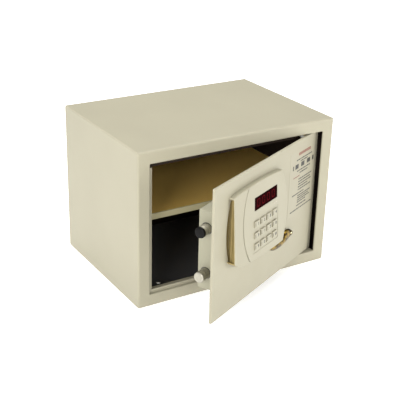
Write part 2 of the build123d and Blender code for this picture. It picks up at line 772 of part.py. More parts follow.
def key_mat():
    middle_s = KEY_FIRST_S + 1.5 * KEY_PITCH_S
    middle_z = KEY_FIRST_Z - KEY_PITCH_Z
    sheet = on_face(middle_s, middle_z) * Pos(0, 0, -6.4) * RectangleRounded(70.0, 48.0, 2.0)
    mat = extrude(sheet, amount=1.0)
    for s, z in key_places():
        mat += extrude(on_face(s, z) * Pos(0, 0, -5.5) * Circle(3.2), amount=0.8, taper=20)
    return mat


# ---- Emergency lock and cover ----

def override_housing():
    body = disc(LOCK_S, LOCK_Z, BARREL_R, -22.0, 0.0)
    body += disc(LOCK_S, LOCK_Z, 10.0, 0.0, 1.0)
    body -= disc(LOCK_S, LOCK_Z, PLUG_R + RUNNING, -23.0, 2.0)
    return body


def override_nut():
    nut = slab(at(LOCK_S, LOCK_Z) * RegularPolygon(12.5, 6), -9.0, -DOOR_THICK)
    return nut - disc(LOCK_S, LOCK_Z, BARREL_R, -10.0, 0.0)


def override_plug():
    plug = disc(LOCK_S, LOCK_Z, PLUG_R, -23.0, 1.0)
    plug -= door_block(LOCK_S - 0.8, LOCK_S + 0.8, -8.0, 2.0, LOCK_Z - 3.6, LOCK_Z + 3.6)
    return plug


def override_cam():
    cam = disc(LOCK_S, LOCK_Z, 6.5, -25.0, -23.0)
    cam += door_block(LOCK_S - 3.5, LOCK_S + 3.5, -25.0, -23.0, LOCK_Z, LOCK_Z + 13.0)
    cam += disc(LOCK_S, LOCK_Z, 2.5, -27.0, -25.0)
    return cam


def crescent():
    """The cover's plan: a tapered tail on the left that swells into a round head."""
    low = [(154.6, 76.6), (160.0, 73.6), (170.0, 70.9), (184.0, 68.3), (200.0, 67.6), (215.0, 70.0)]
    head = [(225.5, 75.4), (229.8, 82.4), (226.0, 89.4), (215.5, 92.8), (205.0, 90.8), (199.0, 85.0)]
    high = [(191.5, 79.8), (180.0, 77.6), (166.0, 77.4), (158.0, 77.9)]
    points = [(DOOR_LEFT + s, z) for s, z in [*low, *head, *high]]
    return make_face(Spline(*points, periodic=True))


def override_cover():
    cover = slab(crescent(), 1.4, 4.4)
    cover += disc(PIVOT_S, PIVOT_Z, 2.9, 0.2, 1.4)
    cover += disc(PIVOT_S, PIVOT_Z, PIVOT_R, -6.4, 0.2)
    return cover


def cover_pivot_clip():
    clip = disc(PIVOT_S, PIVOT_Z, 5.0, -DOOR_THICK - 1.2, -DOOR_THICK - 0.2)
    return clip - disc(PIVOT_S, PIVOT_Z, PIVOT_R, -7.0, 0.0)


CABINET_PARTS = {
    "cabinet_shell": cabinet_shell,
    "back_panel": back_panel,
    "door_stop_frame": door_stop_frame,
    "strike_channel": strike_channel,
    "hinge_bracket_upper": hinge_bracket,
    "hinge_bracket_lower": lambda: upside_down(hinge_bracket()),
    "hinge_bushes": lambda: group([hinge_bush(), upside_down(hinge_bush())]),
    "shelf": shelf,
    "shelf_rails": shelf_rails,
    "floor_mat": floor_mat,
}

DOOR_PARTS = {
    "door_plate": door_plate,
    "hinge_lug_upper": hinge_lug,
    "hinge_lug_lower": lambda: upside_down(hinge_lug()),
    "hinge_pins": lambda: group([hinge_pin(), upside_down(hinge_pin())]),
    "instruction_label": instruction_label,
    "lock_chassis": lock_chassis,
    "lock_cover": lock_cover,
    "lock_cover_screws": lock_cover_screws,
    "bolt_bushes": bolt_bushes,
    "bolt_upper": lambda: lock_bolt(BOLT_Z[1]),
    "bolt_lower": lambda: lock_bolt(BOLT_Z[0]),
    "carriage_plate": carriage_plate,
    "drive_rack": drive_rack,
    "drive_pinion": drive_pinion,
    "motor_gearbox": motor_gearbox,
    "motor_bracket": motor_bracket,
    "main_board": main_board,
    "ribbon_cable": ribbon_cable,
    "battery_tray": battery_tray,
    "batteries": batteries,
    "battery_contacts": battery_contacts,
    "battery_cover": battery_cover,
    "grip_moulding": grip_moulding,
    "finger_cup": finger_cup,
    "keypad_housing": keypad_housing,
    "housing_screws": housing_screws,
    "display_lens": display_lens,
    "display_module": display_module,
    "indicator_lights": indicator_lights,
    "keypad_board": keypad_board,
    "key_mat": key_mat,
    "override_housing": override_housing,
    "override_nut": override_nut,
    "override_plug": override_plug,
    "override_cam": override_cam,
    "override_cover": override_cover,
    "cover_pivot_clip": cover_pivot_clip,
}

os.makedirs("parts", exist_ok=True)
for name, make in CABINET_PARTS.items():
    save(name, make())
for name, make in DOOR_PARTS.items():
    save_on_door(name, make())
for name, (s, z) in zip(KEY_NAMES, key_places()):
    save_on_door(f"key_{name}", key_cap(s, z))
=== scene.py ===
import math

import bmesh
import bpy
from mathutils import Matrix, Vector


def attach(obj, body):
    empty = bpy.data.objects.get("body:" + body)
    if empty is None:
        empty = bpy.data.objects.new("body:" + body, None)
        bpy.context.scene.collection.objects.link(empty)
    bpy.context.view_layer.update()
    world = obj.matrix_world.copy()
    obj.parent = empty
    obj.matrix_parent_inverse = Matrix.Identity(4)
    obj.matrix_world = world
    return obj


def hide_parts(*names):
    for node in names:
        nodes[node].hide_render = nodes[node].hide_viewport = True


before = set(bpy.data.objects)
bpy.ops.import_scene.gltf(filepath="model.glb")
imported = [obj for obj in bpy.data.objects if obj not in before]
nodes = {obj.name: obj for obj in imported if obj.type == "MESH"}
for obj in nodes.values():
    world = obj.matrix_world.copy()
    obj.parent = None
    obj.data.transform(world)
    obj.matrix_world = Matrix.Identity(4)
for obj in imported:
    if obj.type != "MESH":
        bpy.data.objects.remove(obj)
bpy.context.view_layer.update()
scene = bpy.context.scene

# The door's own frame: X runs from the free edge to the hinge, Y is up, Z stands out from the outer face.
HINGE = Vector((0.1255, -0.113, 0.0))
REST_OPEN = math.radians(25.5)
DOOR_LEFT = -0.1535
FRONT = -0.125
OPEN = Matrix.Rotation(REST_OPEN, 4, "Z")
SHUT = Matrix(((1, 0, 0, DOOR_LEFT), (0, 0, -1, FRONT), (0, 1, 0, 0), (0, 0, 0, 1)))
DOOR = Matrix.Translation(HINGE) @ OPEN @ Matrix.Translation(-HINGE) @ SHUT

# The mouldings' face leans out towards the bottom.
FACE_TOP_H = 0.008
FACE_TOP_Z = 0.202
FACE_SLOPE = 0.053
FACE_LEVEL = FACE_TOP_H + FACE_TOP_Z * FACE_SLOPE
LEAN = Matrix.Rotation(-math.atan(FACE_SLOPE), 4, "X")

# The finger pocket's left and right walls, foot and head.
POCKET_LEFT = 0.030
POCKET_RIGHT = 0.0475
POCKET_LOW = 0.0995
POCKET_HIGH = 0.2003

# The keypad: the first key's middle, the step to the next column and row, and the keys' names in order.
KEY_FIRST = (0.0993, 0.1447)
KEY_PITCH = (0.01755, 0.01765)
KEY_PROUD = 0.0018
KEYS = ("1", "2", "3", "4", "5", "6", "7", "8", "9", "0", "clear", "lock")

# Printed and lit characters.
LEGEND_SIZE = 0.0064
LEGEND_OFFSET = 0.0022
LEGEND_BOLD = 0.00022
LEGEND_THICK = 0.00006
# A dark upright stroke at each key's left edge: a painted shadow of the raised key's side.
KEY_SHADOW_BAR = (-0.0058, -0.0030, -0.0047, 0.0030)
PRINT_THICK = 0.00005
LABEL_TOP = 0.00015
DISPLAY_MIDDLE = (0.1271, 0.17575)
DISPLAY_RECESS = -0.00035
DIGIT_SIZE = (0.0082, 0.0122)
DIGIT_STROKE = 0.0014
DIGIT_THICK = 0.00006
DIGIT_FIRST = -0.0255
DIGIT_PITCH = 0.0142

# The upper bolt's tip, and the foot of the round eye on the brass cover, in the door's frame.
BOLT_TIP = (0.0052, 0.155, -0.027)
COVER_EYE = (0.2252, 0.0802, 0.0030)

# How high the brass cover's dome starts above the door, and its underside.
COVER_BASE = 0.0016
COVER_FOOT = 0.0014


def on_face(s, z, lift=0.0):
    """The frame of a place on the leaning face, with Z out of the face."""
    h = FACE_TOP_H + (FACE_TOP_Z - z) * FACE_SLOPE
    return DOOR @ Matrix.Translation((s, z, h)) @ LEAN @ Matrix.Translation((0, 0, lift))


# ---- Materials ----

def linear(r, g, b):
    """A colour given as sRGB 0-255, as linear values."""
    def one(c):
        c /= 255.0
        return c / 12.92 if c <= 0.04045 else ((c + 0.055) / 1.055) ** 2.4
    return (one(r), one(g), one(b), 1.0)


class Nodes:
    """A short way to build a material's node tree."""

    def __init__(self, name):
        self.mat = bpy.data.materials.new(name)
        self.mat.use_nodes = True
        self.tree = self.mat.node_tree
        self.shader = self.tree.nodes["Principled BSDF"]
        self.coords = self.tree.nodes.new("ShaderNodeTexCoord").outputs["Object"]

    def link(self, a, b):
        self.tree.links.new(a, b)

    def add(self, kind, **values):
        node = self.tree.nodes.new(kind)
        for key, value in values.items():
            if hasattr(node, key):
                setattr(node, key, value)
            else:
                node.inputs[key].default_value = value
        return node

    def noise(self, scale, detail=2.0, rough=0.5, stretch=None):
        node = self.add("ShaderNodeTexNoise", Scale=scale, Detail=detail, Roughness=rough)
        source = self.coords
        if stretch:
            mapping = self.add("ShaderNodeMapping", Scale=stretch)
            self.link(source, mapping.inputs["Vector"])
            source = mapping.outputs["Vector"]
        self.link(source, node.inputs["Vector"])
        return node.outputs["Fac"]

    def ramp(self, fac, low, high, a=0.35, b=0.65):
        node = self.add("ShaderNodeValToRGB")
        node.color_ramp.elements[0].position = a
        node.color_ramp.elements[0].color = low
        node.color_ramp.elements[1].position = b
        node.color_ramp.elements[1].color = high
        self.link(fac, node.inputs["Fac"])
        return node.outputs["Color"]

    def span(self, fac, low, high):
        node = self.add("ShaderNodeMapRange")
        node.inputs["To Min"].default_value = low
        node.inputs["To Max"].default_value = high
        self.link(fac, node.inputs["Value"])
        return node.outputs["Result"]

    def bump(self, height, strength, distance):
        node = self.add("ShaderNodeBump", Strength=strength, Distance=distance)
        self.link(height, node.inputs["Height"])
        self.link(node.outputs["Normal"], self.shader.inputs["Normal"])

    def set(self, **values):
        for key, value in values.items():
            self.shader.inputs[key.replace("_", " ")].default_value = value

    def along(self, direction):
        """How far a point lies along a direction, from the object's origin."""
        dot = self.add("ShaderNodeVectorMath", operation="DOT_PRODUCT")
        self.link(self.coords, dot.inputs[0])
        dot.inputs[1].default_value = direction
        return dot.outputs["Value"]

    def within(self, limits):
        """1 where every value lies inside its limits, given as (value, low, high), and 0 elsewhere."""
        inside = None
        for value, low, high in limits:
            for operation, limit in (("GREATER_THAN", low), ("LESS_THAN", high)):
                test = self.add("ShaderNodeMath", operation=operation)
                self.link(value, test.inputs[0])
                test.inputs[1].default_value = limit
                if inside is None:
                    inside = test.outputs[0]
                    continue
                both = self.add("ShaderNodeMath", operation="MULTIPLY")
                self.link(inside, both.inputs[0])
                self.link(test.outputs[0], both.inputs[1])
                inside = both.outputs[0]
        return inside

    def mix(self, factor, outside, inside):
        node = self.add("ShaderNodeMix", data_type="RGBA")
        self.link(factor, node.inputs["Factor"])
        self.link(outside, node.inputs[6])
        self.link(inside, node.inputs[7])
        return node.outputs[2]


def darker(colour, share):
    return (colour[0] * share, colour[1] * share, colour[2] * share, 1.0)


def paint(name, colour, rough=0.5, grain=0.06):
    """Satin powder coat: a fine orange-peel skin and slow, faint changes of tone."""
    m = Nodes(name)
    tone = m.ramp(m.noise(9.0, 3.0), darker(colour, 0.965), colour)
    m.link(tone, m.shader.inputs["Base Color"])
    m.link(m.span(m.noise(45.0, 4.0), rough - 0.05, rough + 0.06), m.shader.inputs["Roughness"])
    m.bump(m.noise(900.0, 2.0, 0.6), grain, 0.0004)
    m.set(Specular_IOR_Level=0.3)
    return m.mat


def plastic(name, colour, rough=0.45, grain=0.08):
    """Moulded plastic with a fine spark-eroded texture."""
    m = Nodes(name)
    tone = m.ramp(m.noise(14.0, 3.0), darker(colour, 0.97), colour)
    m.link(tone, m.shader.inputs["Base Color"])
    m.link(m.span(m.noise(60.0, 3.0), rough - 0.04, rough + 0.05), m.shader.inputs["Roughness"])
    m.bump(m.noise(1800.0, 2.0, 0.6), grain, 0.0002)
    m.set(Specular_IOR_Level=0.35)
    return m.mat


def metal(name, colour, rough, stretch=(1.0, 1.0, 1.0), scale=120.0, contrast=0.85, grain=0.05):
    """Bare or plated metal with faint drawn lines and uneven polish."""
    m = Nodes(name)
    streaks = m.noise(scale, 4.0, 0.6, stretch)
    tone = m.ramp(streaks, darker(colour, contrast), colour)
    m.link(tone, m.shader.inputs["Base Color"])
    m.set(Metallic=1.0)
    m.link(m.span(streaks, rough * 0.75, rough * 1.3), m.shader.inputs["Roughness"])
    m.bump(m.noise(scale * 6, 2.0, 0.5, stretch), grain, 0.0002)
    return m.mat


def black_tip_shade(name, colour):
    """Near-black and hardly shining: painted shade for the dark end of the upper bolt."""
    m = Nodes(name)
    m.link(m.ramp(m.noise(300.0, 2.0), darker(colour, 0.6), colour), m.shader.inputs["Base Color"])
    m.set(Roughness=0.45, Specular_IOR_Level=0.12)
    m.bump(m.noise(900.0, 2.0), 0.06, 0.0002)
    return m.mat


def brass_with_painted_reflection(name, dark, light):
    """Polished brass with painted reflection: bright gold and dark brown patches stand in for the
    surroundings it mirrors, and the bright patches are smoother.
    """
    m = Nodes(name)
    painted_reflection = m.noise(150.0, 3.0, 0.55)
    m.link(m.ramp(painted_reflection, dark, light, 0.40, 0.60), m.shader.inputs["Base Color"])
    m.set(Metallic=1.0)
    m.link(m.span(painted_reflection, 0.42, 0.2), m.shader.inputs["Roughness"])
    m.bump(m.noise(420.0, 3.0, 0.5), 0.12, 0.0003)
    return m.mat


def felt(name, colour):
    """Short flocked pile."""
    m = Nodes(name)
    pile = m.noise(1400.0, 3.0, 0.7)
    m.link(m.ramp(pile, darker(colour, 0.5), colour), m.shader.inputs["Base Color"])
    m.set(Roughness=1.0, Sheen_Weight=0.12, Sheen_Roughness=0.6)
    m.bump(pile, 0.6, 0.0008)
    return m.mat


def paint_with_painted_light_zone(name, colour, zone_colour, limits, pile=0.5, inner_rough=1.0):
    """Paint, with another colour inside the limits, given as low and high for X, Y and Z: painted shade where
    that colour is darker than the paint, and painted light where it is brighter.
    """
    m = Nodes(name)
    tone = m.ramp(m.noise(9.0, 3.0), darker(colour, 0.965), colour)
    # The colour inside the limits, with a fine fibre-like grain: painted shade where darker, painted light
    # where brighter.
    zone_tone = m.ramp(m.noise(1400.0, 3.0, 0.7), darker(zone_colour, 1.0 - pile), zone_colour)
    axes = ((1, 0, 0), (0, 1, 0), (0, 0, 1))
    inside = m.within([(m.along(axis), low, high) for axis, (low, high) in zip(axes, limits)])
    m.link(m.mix(inside, tone, zone_tone), m.shader.inputs["Base Color"])
    m.link(m.span(inside, 0.5, inner_rough), m.shader.inputs["Roughness"])
    m.bump(m.noise(900.0, 2.0, 0.6), 0.06, 0.0004)
    m.set(Specular_IOR_Level=0.3)
    return m.mat


def pocket_shade_paint(name, node, colour, shade_tint, slope, surface, depth):
    """A cream finish, with a darker brownish yellow on the finger pocket's walls to a depth below a sloping
    surface: painted shade inside the pocket.
    """
    m = Nodes(name)
    to_door = DOOR.inverted() @ nodes[node].matrix_world
    across, up, out = (to_door[i] for i in range(3))
    height = out + up * slope
    limits = [
        (m.along(across[:3]), POCKET_LEFT - across[3], POCKET_RIGHT - across[3]),
        (m.along(up[:3]), POCKET_LOW - up[3], POCKET_HIGH - up[3]),
        (m.along(height[:3]), surface - depth - height[3], surface - height[3]),
    ]
    outer = m.ramp(m.noise(14.0, 3.0), darker(colour, 0.97), colour)
    # The brownish yellow on the pocket's walls is painted shade.
    shade_tone = m.ramp(m.noise(40.0, 3.0), darker(shade_tint, 0.9), shade_tint)
    m.link(m.mix(m.within(limits), outer, shade_tone), m.shader.inputs["Base Color"])
    m.link(m.span(m.noise(60.0, 3.0), 0.42, 0.52), m.shader.inputs["Roughness"])
    m.bump(m.noise(900.0, 2.0, 0.6), 0.06, 0.0003)
    m.set(Specular_IOR_Level=0.3)
    return m.mat


def tinted_lens(name, colour, rough=0.08, coat=0.5):
    """Deep coloured, polished filter plastic."""
    m = Nodes(name)
    m.link(m.ramp(m.noise(30.0, 2.0), darker(colour, 0.8), colour), m.shader.inputs["Base Color"])
    m.set(Roughness=rough, Coat_Weight=coat, Coat_Roughness=0.05)
    m.set(Specular_IOR_Level=coat)
    m.bump(m.noise(25.0, 1.0), 0.02, 0.0005)
    return m.mat


def lit(name, colour, strength):
    """A glowing segment with a slightly uneven fill."""
    m = Nodes(name)
    glow = m.ramp(m.noise(500.0, 2.0), darker(colour, 0.75), colour)
    m.link(glow, m.shader.inputs["Base Color"])
    m.link(glow, m.shader.inputs["Emission Color"])
    m.set(Emission_Strength=strength, Roughness=0.5, Specular_IOR_Level=0.0)
    return m.mat


def ink(name, colour):
    """Screen-printed ink, thinner in places."""
    m = Nodes(name)
    pale = (colour[0] + 0.03, colour[1] + 0.03, colour[2] + 0.02, 1.0)
    m.link(m.ramp(m.noise(2200.0, 2.0), colour, pale, 0.45, 0.8), m.shader.inputs["Base Color"])
    m.set(Roughness=0.5)
    return m.mat


def circuit(name):
    """Green solder resist with copper tracks showing through."""
    m = Nodes(name)
    tracks = m.add("ShaderNodeTexBrick", Scale=90.0)
    tracks.inputs["Color1"].default_value = linear(22, 84, 48)
    tracks.inputs["Color2"].default_value = linear(26, 96, 56)
    tracks.inputs["Mortar"].default_value = linear(60, 130, 80)
    m.link(m.coords, tracks.inputs["Vector"])
    m.link(tracks.outputs["Color"], m.shader.inputs["Base Color"])
    m.set(Roughness=0.3)
    m.bump(tracks.outputs["Fac"], 0.15, 0.0002)
    return m.mat


CREAM = linear(152, 147, 127)
# A brownish yellow for the finger pocket's walls and cup: painted shade.
POCKET_SHADE_TAN = linear(152, 134, 86)
# A dark brown for the cabinet's inside and the ledges under the top border: painted shade, where the cream
# paint lies in deep shade.
INTERIOR_PAINTED_SHADE = linear(34, 22, 12)
SHELF_FRONT_Y = -0.080

# Zones of the object where a node's paint changes, to painted shade inside the cabinet and under the top
# border and to painted light on the shelf's top, as low and high for X, Y and Z.
INSIDE_CABINET = ((-0.1735, 0.1735), (-0.1215, 0.1238), (0.0015, 0.2485))
BEHIND_SHELF_LIP = ((-0.2, 0.2), (SHELF_FRONT_Y + 0.0014, 0.2), (0.0, 0.2))
UNDER_TOP_BORDER = ((-0.2, 0.2), (-0.13, 0.2), (0.2225, 0.25))

MATERIALS = {
    # The cabinet's inside painted dark brown: painted shade.
    "cabinet": paint_with_painted_light_zone("cabinet_paint", CREAM, INTERIOR_PAINTED_SHADE, INSIDE_CABINET),
    # The ledges under the top border are dark brown: painted shade.
    "frame": paint_with_painted_light_zone("frame_paint", CREAM, INTERIOR_PAINTED_SHADE, UNDER_TOP_BORDER),
    # The door plate's cut edge in the finger pocket is darker brownish yellow: painted shade.
    "door": pocket_shade_paint(
        "door_paint", "door_plate", CREAM, darker(POCKET_SHADE_TAN, 0.8), slope=0.0, surface=-0.0003, depth=0.0035,
    ),
    "case": paint("case_paint", linear(142, 139, 119)),
    # The shelf's top behind its lip is a bright warm yellow: painted light, where the lamps reach the inside
    # only a little.
    "shelf": paint_with_painted_light_zone(
        "shelf_paint", linear(168, 160, 126), linear(250, 206, 112), BEHIND_SHELF_LIP,
        pile=0.06, inner_rough=0.3,
    ),
    "abs": plastic("cream_abs", CREAM),
    # The grip moulding's walls in the finger pocket are brownish yellow: painted shade.
    "grip": pocket_shade_paint(
        "grip_abs", "grip_moulding", CREAM, POCKET_SHADE_TAN, slope=FACE_SLOPE, surface=FACE_LEVEL - 0.0009, depth=0.03,
    ),
    # The finger cup in a dark brownish yellow: painted shade inside the pocket.
    "pocket_shade": plastic("pocket_shade_abs", darker(POCKET_SHADE_TAN, 0.7), rough=0.5),
    "key": plastic("key_abs", linear(154, 149, 129), rough=0.46, grain=0.04),
    "black": plastic("black_plastic", linear(24, 24, 24), rough=0.5, grain=0.12),
    # A near-black disc on the upper bolt's tip: painted shade.
    "tip_shade": black_tip_shade("black_tip_shade", linear(7, 6, 5)),
    "acetal": plastic("acetal", linear(226, 224, 214), rough=0.35, grain=0.03),
    "rubber": plastic("key_rubber", linear(206, 205, 198), rough=0.7, grain=0.1),
    # The floor mat's near-black is painted shade: the cabinet's floor lies in deep shade.
    "felt": felt("mat_felt", linear(26, 25, 24)),
    "zinc": metal("zinc_plate", linear(196, 196, 190), rough=0.34),
    "chrome": metal("bright_plate", linear(196, 196, 191), rough=0.25, scale=60.0, contrast=0.94, grain=0.02),
    "bolt": metal(
        "satin_nickel", linear(176, 172, 158), rough=0.5,
        stretch=(0.3, 1, 1), scale=90.0, contrast=0.7, grain=0.04,
    ),
    # The brass cover's dark and bright patches are painted reflection.
    "brass": brass_with_painted_reflection("polished_brass", linear(34, 21, 2), linear(134, 110, 42)),
    # A painted dark reflection: the collar around the brass cover's highlight.
    "dark_rim_reflection": metal("dark_rim_reflection", linear(84, 70, 32), rough=0.35, scale=40.0, contrast=0.8, grain=0.03),
    # A pale metal that paints the highlight on the end of the brass cover's head.
    "rivet": metal("painted_highlight_rivet", linear(240, 228, 186), rough=0.35, scale=40.0, contrast=0.9, grain=0.03),
    "bush": metal("turned_brass", linear(190, 160, 96), rough=0.3),
    "nickel": metal("nickel_spring", linear(206, 203, 192), rough=0.25),
    "lens": tinted_lens("red_filter", linear(31, 8, 9), rough=0.4, coat=0.0),
    "lamp": tinted_lens("lamp_cover", linear(196, 186, 170)),
    "film": tinted_lens("amber_film", linear(176, 116, 48)),
    "cell": tinted_lens("cell_sleeve", linear(40, 46, 58)),
    "glow": lit("display_glow", linear(76, 14, 19), strength=0.08),
    "board": circuit("circuit_board"),
    # This black also paints the shadow strokes at the keys' left edges.
    "ink": ink("black_ink_and_key_shadows", linear(24, 21, 13)),
    "red_ink": ink("red_ink", linear(112, 54, 40)),
    "clear": paint("label_film", CREAM, rough=0.42, grain=0.02),
}

NODE_MATERIALS = {
    "cabinet": ("cabinet_shell", "back_panel"),
    "frame": ("door_stop_frame", "strike_channel"),
    "zinc": (
        "hinge_bracket_upper", "hinge_bracket_lower", "hinge_lug_upper", "hinge_lug_lower", "hinge_pins",
        "lock_cover_screws", "motor_bracket", "housing_screws", "override_nut", "override_cam",
        "cover_pivot_clip", "carriage_plate",
    ),
    "bush": ("hinge_bushes",),
    "shelf": ("shelf", "shelf_rails"),
    "felt": ("floor_mat",),
    "door": ("door_plate",),
    "clear": ("instruction_label",),
    "case": ("lock_chassis", "lock_cover"),
    "black": ("bolt_bushes", "motor_gearbox", "battery_tray", "battery_cover", "display_module"),
    "board": ("main_board", "keypad_board"),
    "film": ("ribbon_cable",),
    "cell": ("batteries",),
    "nickel": ("battery_contacts",),
    "grip": ("grip_moulding",),
    "abs": ("keypad_housing", "override_housing"),
    "pocket_shade": ("finger_cup",),
    "lens": ("display_lens",),
    "lamp": ("indicator_lights",),
    "rubber": ("key_mat",),
    "brass": ("override_cover",),
    "chrome": ("override_plug",),
    "bolt": ("bolt_upper", "bolt_lower"),
    "acetal": ("drive_rack", "drive_pinion"),
    "key": tuple(f"key_{name}" for name in KEYS),
}


def soften(obj, width):
    """A small rounded edge, and shading that keeps flat faces flat."""
    bevel = obj.modifiers.new("soften", "BEVEL")
    bevel.width = width
    bevel.segments = 3
    bevel.limit_method = "ANGLE"
    bevel.angle_limit = math.radians(40)
    bevel.harden_normals = True
    for face in obj.data.polygons:
        face.use_smooth = True


BEVELS = {
    "cabinet_shell": 0.0005,
    "back_panel": 0.0004,
    "door_stop_frame": 0.0004,
    "strike_channel": 0.0004,
    "shelf": 0.0003,
    "shelf_rails": 0.0003,
    "lock_chassis": 0.0004,
    "lock_cover": 0.0004,
    "battery_cover": 0.0003,
    "hinge_bracket_upper": 0.0003,
    "hinge_bracket_lower": 0.0003,
}

for key, names in NODE_MATERIALS.items():
    for name in names:
        nodes[name].data.materials.clear()
        nodes[name].data.materials.append(MATERIALS[key])
for name, width in BEVELS.items():
    soften(nodes[name], width)


# ---- Pieces added to the frame ----

def piece(name, mesh, matrix, material, body):
    """A mesh object that rides on a body of the frame."""
    obj = bpy.data.objects.new(name, mesh)
    scene.collection.objects.link(obj)
    obj.matrix_world = matrix
    mesh.materials.append(MATERIALS[material])
    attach(obj, body)
    return obj


def glyph(name, text, matrix, material, body):
    """A printed character as a thin raised mesh, centred on the matrix."""
    curve = bpy.data.curves.new(name, "FONT")
    curve.body = text
    curve.size = LEGEND_SIZE
    curve.extrude = LEGEND_THICK / 2
    curve.offset = LEGEND_BOLD
    curve.align_x = "CENTER"
    curve.align_y = "CENTER"
    source = bpy.data.objects.new(name + "_curve", curve)
    mesh = bpy.data.meshes.new_from_object(source)
    bpy.data.objects.remove(source)
    mesh.name = name
    return piece(name, mesh, matrix, material, body)


def bars(rects, thick):
    """Flat printed bars, given as (left, bottom, right, top), as one mesh."""
    mesh = bpy.data.meshes.new("bars")
    bm = bmesh.new()
    for left, bottom, right, top in rects:
        size = Matrix.Diagonal((right - left, top - bottom, thick, 1))
        middle = Matrix.Translation(((left + right) / 2, (bottom + top) / 2, thick / 2))
        bmesh.ops.create_cube(bm, size=1.0, matrix=middle @ size)
    bm.to_mesh(mesh)
    bm.free()
    return mesh


def key_legends():
    """A small digit on each key, and a dark upright stroke at its left edge: a painted shadow of the raised
    key's side.
    """
    for i, name in enumerate(KEYS):
        row, column = divmod(i, 4)
        s = KEY_FIRST[0] + column * KEY_PITCH[0]
        z = KEY_FIRST[1] - row * KEY_PITCH[1]
        text = {"clear": "*", "lock": "#"}.get(name, name)
        top = on_face(s, z, KEY_PROUD)
        place = top @ Matrix.Translation((LEGEND_OFFSET, 0, LEGEND_THICK / 2))
        glyph(f"legend_{name}", text, place, "ink", f"key_{name}")
        # The dark upright stroke is a painted shadow of the key's left side.
        shadow_bar = bars([KEY_SHADOW_BAR], PRINT_THICK)
        piece(f"bar_{name}", shadow_bar, top, "ink", f"key_{name}")


def zero_rects(width, height, stroke):
    """The six lit strokes of a seven-segment zero, as rectangles from its lower left corner."""
    upper = (height / 2 + stroke / 3, height - stroke / 2)
    lower = (stroke / 2, height / 2 - stroke / 3)
    return [
        (stroke, height - stroke, width - stroke, height),
        (width - stroke, upper[0], width, upper[1]),
        (width - stroke, lower[0], width, lower[1]),
        (stroke, 0, width - stroke, stroke),
        (0, lower[0], stroke, lower[1]),
        (0, upper[0], stroke, upper[1]),
    ]


def display_digits():
    """Four dim zeros behind the display's filter."""
    width, height = DIGIT_SIZE
    low = -height / 2
    rects = []
    for i in range(4):
        left = DIGIT_FIRST + i * DIGIT_PITCH
        for x0, y0, x1, y1 in zero_rects(width, height, DIGIT_STROKE):
            rects.append((left + x0, low + y0, left + x1, low + y1))
    middle = on_face(*DISPLAY_MIDDLE, DISPLAY_RECESS)
    piece("display_digits", bars(rects, DIGIT_THICK), middle, "glow", "door")


def line_of_words(left, right, z, thick, first):
    """A line of print as word-long dashes, starting with the word at place first."""
    words = (0.0034, 0.0021, 0.0046, 0.0016, 0.0029, 0.0052, 0.0024, 0.0038)
    space = 0.0009
    shortest = 0.001
    dashes = []
    s = left
    i = first
    while s < right - shortest:
        end = min(s + words[i % len(words)], right)
        dashes.append((s, z - thick / 2, end, z + thick / 2))
        s = end + space
        i += 1
    return dashes


def label_print():
    """Generic printed lines and pictograms where the door's instructions are."""
    list_left = 0.248
    line_thick = 0.0020
    lines = [
        (0.238, 0.290, 0.1969), (0.251, 0.276, 0.1929), (0.241, 0.286, 0.1783), (0.250, 0.278, 0.1737),
        (0.2295, 0.268, 0.1391), (0.226, 0.297, 0.1119), (0.246, 0.278, 0.1179),
    ]
    for i, right in enumerate((0.294, 0.288, 0.292, 0.280, 0.290)):
        lines.append((list_left, right, 0.163 - i * 0.0045))
    for i, right in enumerate((0.292, 0.284, 0.290, 0.276)):
        lines.append((list_left, right, 0.1345 - i * 0.0037))
    dark = []
    for i, (left, right, z) in enumerate(lines):
        dark += line_of_words(left, right, z, line_thick, i)

    pictogram_foot, pictogram_head = 0.1828, 0.1902
    for s, half in ((0.228, 0.0014), (0.2396, 0.0052), (0.2590, 0.0054), (0.2786, 0.0056), (0.2934, 0.0026)):
        dark.append((s - half, pictogram_foot, s + half, pictogram_head))

    heading_left, heading_foot, heading_head = 0.2440, 0.2036, 0.2084
    stroke, pitch = 0.0019, 0.0025
    red = []
    for i in range(16):
        s = heading_left + pitch * i
        red.append((s, heading_foot, s + stroke, heading_head))
    red += line_of_words(0.2295, 0.251, 0.1691, 0.0016, 3)

    lift = DOOR @ Matrix.Translation((0, 0, LABEL_TOP))
    piece("label_dark_print", bars(dark, PRINT_THICK), lift, "ink", "door")
    piece("label_red_print", bars(red, PRINT_THICK), lift, "red_ink", "door")


